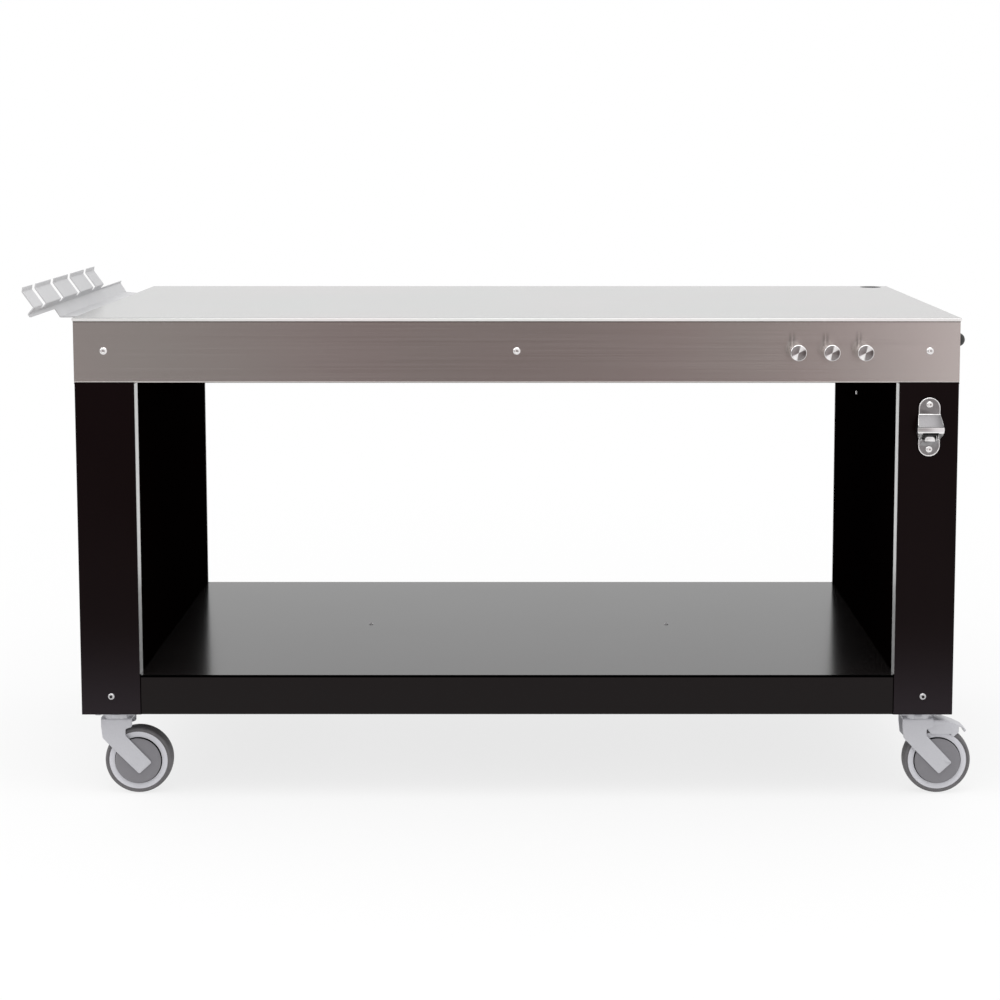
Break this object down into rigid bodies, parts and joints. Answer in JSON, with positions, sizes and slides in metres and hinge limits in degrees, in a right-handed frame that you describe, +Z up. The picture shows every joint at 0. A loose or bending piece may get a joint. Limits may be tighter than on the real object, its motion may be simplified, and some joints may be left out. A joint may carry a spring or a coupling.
{
  "type": "outdoor pizza oven table",
  "caption": "Wide stainless-topped oven table on two black sheet pedestals with a lower shelf, side tool rack, hook pins, bottle opener and swivel casters.",
  "frame": {"origin": "on the floor under the middle of the overall box, which takes in the rack on the left and the hook pins in front", "axes": "+Z up, the front with the hook pins and the opener faces -Y, +X to the right as seen from the front, with the rack on the left"},
  "size_m": [1.7163, 0.8531, 0.9488],
  "materials": {
    "brushed_stainless": "brushed lengthwise, satin",
    "bare_steel": "satin, uncoated",
    "bright_steel": "turned and polished",
    "rack_steel": "light grey satin",
    "polished_casting": "polished",
    "black_coat": "black powder coat, half gloss",
    "zinc_steel": "light grey, satin",
    "guard_plastic": "dark grey, moulded",
    "core_plastic": "light grey, moulded",
    "grey_tyre": "grey rubber",
    "dark_plastic": "dark grey",
    "black_rubber": "black rubber"
  },
  "bodies": {
    "table": {"worktop": "brushed_stainless", "apron_front": "brushed_stainless", "apron_rear": "brushed_stainless", "apron_left": "brushed_stainless", "apron_right": "brushed_stainless", "worktop_stiffeners": "bare_steel", "apron_screws": "bright_steel", "hook_pins": "bright_steel", "buffer_knob": "black_rubber", "cable_grommet": "dark_plastic", "tool_rack": "rack_steel", "rack_screws": "bright_steel", "bottle_opener": "polished_casting", "opener_screws": "bright_steel", "cover_left": "black_coat", "cover_right": "black_coat", "inner_panel_left": "black_coat", "inner_panel_right": "black_coat", "leg_posts": "bare_steel", "top_plates": "bare_steel", "base_plates": "bare_steel", "foot_screws": "bright_steel", "shelf": "black_coat", "shelf_rail_front": "black_coat", "shelf_rail_rear": "black_coat", "shelf_stiffeners": "bare_steel", "shelf_screws": "bright_steel", "caster_plates": "zinc_steel", "kingpins": "zinc_steel", "caster_bolts": "zinc_steel"},
    "swivel_front_left": {"fork_front_left": "zinc_steel", "axle_front_left": "zinc_steel", "thread_guards_front_left": "guard_plastic"},
    "wheel_front_left": {"wheel_core_front_left": "core_plastic", "tyre_front_left": "grey_tyre"},
    "swivel_front_right": {"fork_front_right": "zinc_steel", "axle_front_right": "zinc_steel", "thread_guards_front_right": "guard_plastic", "pedal_pin_front_right": "zinc_steel"},
    "wheel_front_right": {"wheel_core_front_right": "core_plastic", "tyre_front_right": "grey_tyre"},
    "pedal_front_right": {"brake_pedal_front_right": "zinc_steel"},
    "swivel_rear_left": {"fork_rear_left": "zinc_steel", "axle_rear_left": "zinc_steel", "thread_guards_rear_left": "guard_plastic"},
    "wheel_rear_left": {"wheel_core_rear_left": "core_plastic", "tyre_rear_left": "grey_tyre"},
    "swivel_rear_right": {"fork_rear_right": "zinc_steel", "axle_rear_right": "zinc_steel", "thread_guards_rear_right": "guard_plastic", "pedal_pin_rear_right": "zinc_steel"},
    "wheel_rear_right": {"wheel_core_rear_right": "core_plastic", "tyre_rear_right": "grey_tyre"},
    "pedal_rear_right": {"brake_pedal_rear_right": "zinc_steel"}
  },
  "joints": [
    {"name": "swivel_front_left", "type": "hinge", "parent": "table", "child": "swivel_front_left", "pos_m": [-0.7244, -0.3195, 0.15], "axis": [0, 0, 1], "continuous": true},
    {"name": "roll_front_left", "type": "hinge", "parent": "swivel_front_left", "child": "wheel_front_left", "pos_m": [-0.6864, -0.3195, 0.0625], "axis": [0, 1, 0], "continuous": true},
    {"name": "swivel_front_right", "type": "hinge", "parent": "table", "child": "swivel_front_right", "pos_m": [0.7576, -0.3195, 0.15], "axis": [0, 0, 1], "continuous": true},
    {"name": "roll_front_right", "type": "hinge", "parent": "swivel_front_right", "child": "wheel_front_right", "pos_m": [0.7956, -0.3195, 0.0625], "axis": [0, 1, 0], "continuous": true},
    {"name": "brake_front_right", "type": "hinge", "parent": "swivel_front_right", "child": "pedal_front_right", "pos_m": [0.7756, -0.3195, 0.1335], "axis": [0, 1, 0], "range_deg": [0, 8]},
    {"name": "swivel_rear_left", "type": "hinge", "parent": "table", "child": "swivel_rear_left", "pos_m": [-0.7244, 0.3705, 0.15], "axis": [0, 0, 1], "continuous": true},
    {"name": "roll_rear_left", "type": "hinge", "parent": "swivel_rear_left", "child": "wheel_rear_left", "pos_m": [-0.6864, 0.3705, 0.0625], "axis": [0, 1, 0], "continuous": true},
    {"name": "swivel_rear_right", "type": "hinge", "parent": "table", "child": "swivel_rear_right", "pos_m": [0.7576, 0.3705, 0.15], "axis": [0, 0, 1], "continuous": true},
    {"name": "roll_rear_right", "type": "hinge", "parent": "swivel_rear_right", "child": "wheel_rear_right", "pos_m": [0.7956, 0.3705, 0.0625], "axis": [0, 1, 0], "continuous": true},
    {"name": "brake_rear_right", "type": "hinge", "parent": "swivel_rear_right", "child": "pedal_rear_right", "pos_m": [0.7756, 0.3705, 0.1335], "axis": [0, 1, 0], "range_deg": [0, 8]}
  ]
}
